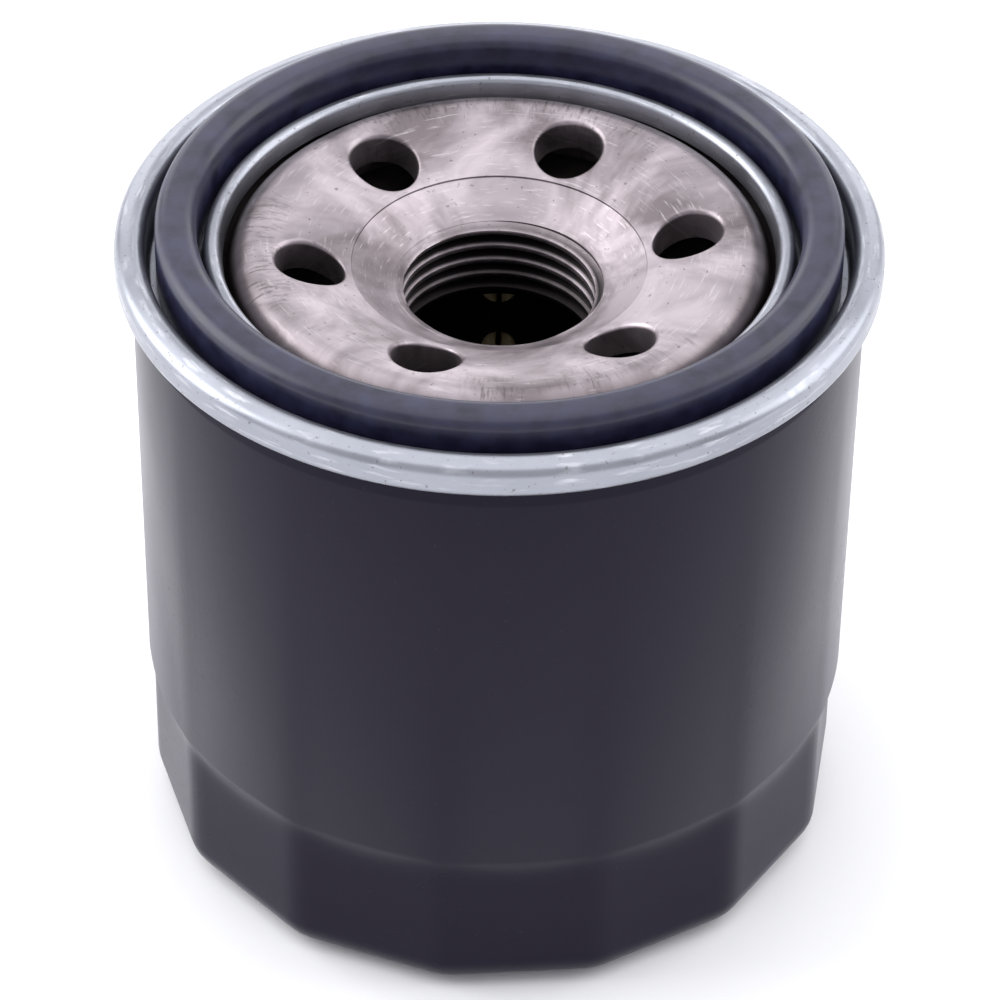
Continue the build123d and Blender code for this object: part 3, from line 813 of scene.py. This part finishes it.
spring_steel = inner_metal(
    "spring_steel", colour(0.20, 0.20, 0.22), colour(0.38, 0.37, 0.38), 0.30
)
tinned = inner_metal("tinned_cap", colour(0.30, 0.30, 0.30), colour(0.46, 0.455, 0.44), 0.30)
# Painted shade: the centre tube and the bypass valve's seat, disc and cage are made near-black, so
# that the bore reads dark.
shaded_inner_steel = inner_metal(
    "shaded_inner_steel", colour(0.020, 0.019, 0.018), colour(0.050, 0.047, 0.044), 0.42
)
# Painted shade: the rivet is made dark, so that it does not show in the bore.
rivet = inner_metal(
    "rivet_steel", colour(0.045, 0.044, 0.043), colour(0.085, 0.082, 0.08), 0.36
)
valve_rubber = rubber(
    "valve_rubber", colour(0.016, 0.013, 0.012), colour(0.034, 0.028, 0.025), 0.42
)
paper = filter_paper()
adhesive = cured_paste("bond_adhesive", colour(0.16, 0.17, 0.15), colour(0.26, 0.27, 0.24))
compound = cured_paste("sealing_compound", colour(0.10, 0.10, 0.11), colour(0.17, 0.17, 0.18))

# Each spring is wound from its shape and hung on its body; its joint, still end and travel are
# listed but not used here.
springs = [
    {
        "name": "coiled_element_spring",
        "node": "element_spring",
        "body": "housing",
        "joint": "element_float",
        "shape": {"radius": 18.0, "wire": 2.0, "bottom": 0.4, "height": 10.0, "turns": 3.1},
        "still_end": 0.4,
        "travel": 1.0,
    },
    {
        "name": "coiled_bypass_spring",
        "node": "bypass_spring",
        "body": "element",
        "joint": "bypass_valve_lift",
        "shape": {"radius": 5.6, "wire": 1.1, "bottom": 16.0, "height": 10.0, "turns": 5.5},
        "still_end": 26.0,
        "travel": 2.5,
    },
]
for spring in springs:
    piece = finished(spring["name"], coil_spring(**spring["shape"]))
    piece.data.materials.append(spring_steel)
    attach(piece, spring["body"])
    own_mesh(piece)
    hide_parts(spring["node"])

kept_nodes = {
    "seam_compound": compound,
    "upper_end_cap": tinned,
    "lower_end_cap": tinned,
    "media_seam_clip": tinned,
    # The parts seen down the bore take the near-black steels of painted shade.
    "centre_tube": shaded_inner_steel,
    "bypass_valve_seat": shaded_inner_steel,
    "bypass_valve_disc": shaded_inner_steel,
    "bypass_valve_cage": shaded_inner_steel,
    "bypass_valve_rivet": rivet,
    "bypass_valve_facing": valve_rubber,
    "anti_drainback_valve": valve_rubber,
    "pleated_media": paper,
    "upper_bond_ring": adhesive,
    "lower_bond_ring": adhesive,
}
for name, material in kept_nodes.items():
    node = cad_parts[name]
    node.data.materials.clear()
    node.data.materials.append(material)

# ---------------------------------------------------------------- floor, light and camera
floor_finish = Finish("floor", Roughness=0.9)
floor_finish.surface.inputs["Base Color"].default_value = colour(0.90, 0.90, 0.91)
seen_below = floor_finish.add("ShaderNodeNewGeometry", {}, {}, "Backfacing")
clear = floor_finish.add("ShaderNodeBsdfTransparent", {}, {})
lit = Value(floor_finish, floor_finish.surface.outputs[0])
one_sided = floor_finish.add("ShaderNodeMixShader", {}, {0: seen_below, 1: lit, 2: clear})
floor_finish.links.new(one_sided.socket, floor_finish.output.inputs["Surface"])
floor_mesh = bmesh.new()
bmesh.ops.create_grid(floor_mesh, x_segments=1, y_segments=1, size=3000)
floor = finished("floor", floor_mesh)
floor.data.materials.append(floor_finish.material)

bpy.context.scene.view_settings.view_transform = "Standard"
world = bpy.data.worlds.new("studio")
bpy.context.scene.world = world
world.use_nodes = True
world.node_tree.nodes["Background"].inputs["Color"].default_value = colour(0.95, 0.95, 1.0)
world.node_tree.nodes["Background"].inputs["Strength"].default_value = 0.82


def soft_light(name, place, target, width, height, power):
    """A rectangular softbox that faces a point. Its place and target are in metres."""
    data = bpy.data.lights.new(name, "AREA")
    data.shape = "RECTANGLE"
    data.size = width
    data.size_y = height
    data.energy = power
    light = bpy.data.objects.new(name, data)
    light.location = place
    light.rotation_euler = (Vector(target) - Vector(place)).to_track_quat("-Z", "Y").to_euler()
    bpy.context.scene.collection.objects.link(light)


soft_light("overhead", (0.0, 0.3, 1.8), (0, 0, 0.05), 3.0, 2.4, 24.0)
soft_light("left", (-1.2, 0.3, 0.7), (0, 0, 0.03), 1.2, 1.2, 17.0)
soft_light("right", (1.2, 0.3, 0.7), (0, 0, 0.03), 1.2, 1.2, 10.0)
soft_light("back", (0.0, 1.5, 0.5), (0, 0, 0.04), 1.8, 0.8, 7.0)

lens = bpy.data.cameras.new("camera")
lens.lens = 175.8
lens.sensor_width = 36.0
lens.clip_start = 0.02
camera = bpy.data.objects.new("camera", lens)
pitch, yaw, roll = radians(90 - 38.995), radians(-0.053), radians(0.717)
turn = Matrix.Rotation(yaw, 4, "Z") @ Matrix.Rotation(pitch, 4, "X") @ Matrix.Rotation(roll, 4, "Z")
camera.matrix_world = Matrix.Translation((0, -0.3545, 0.3193)) @ turn
bpy.context.scene.collection.objects.link(camera)
bpy.context.scene.camera = camera
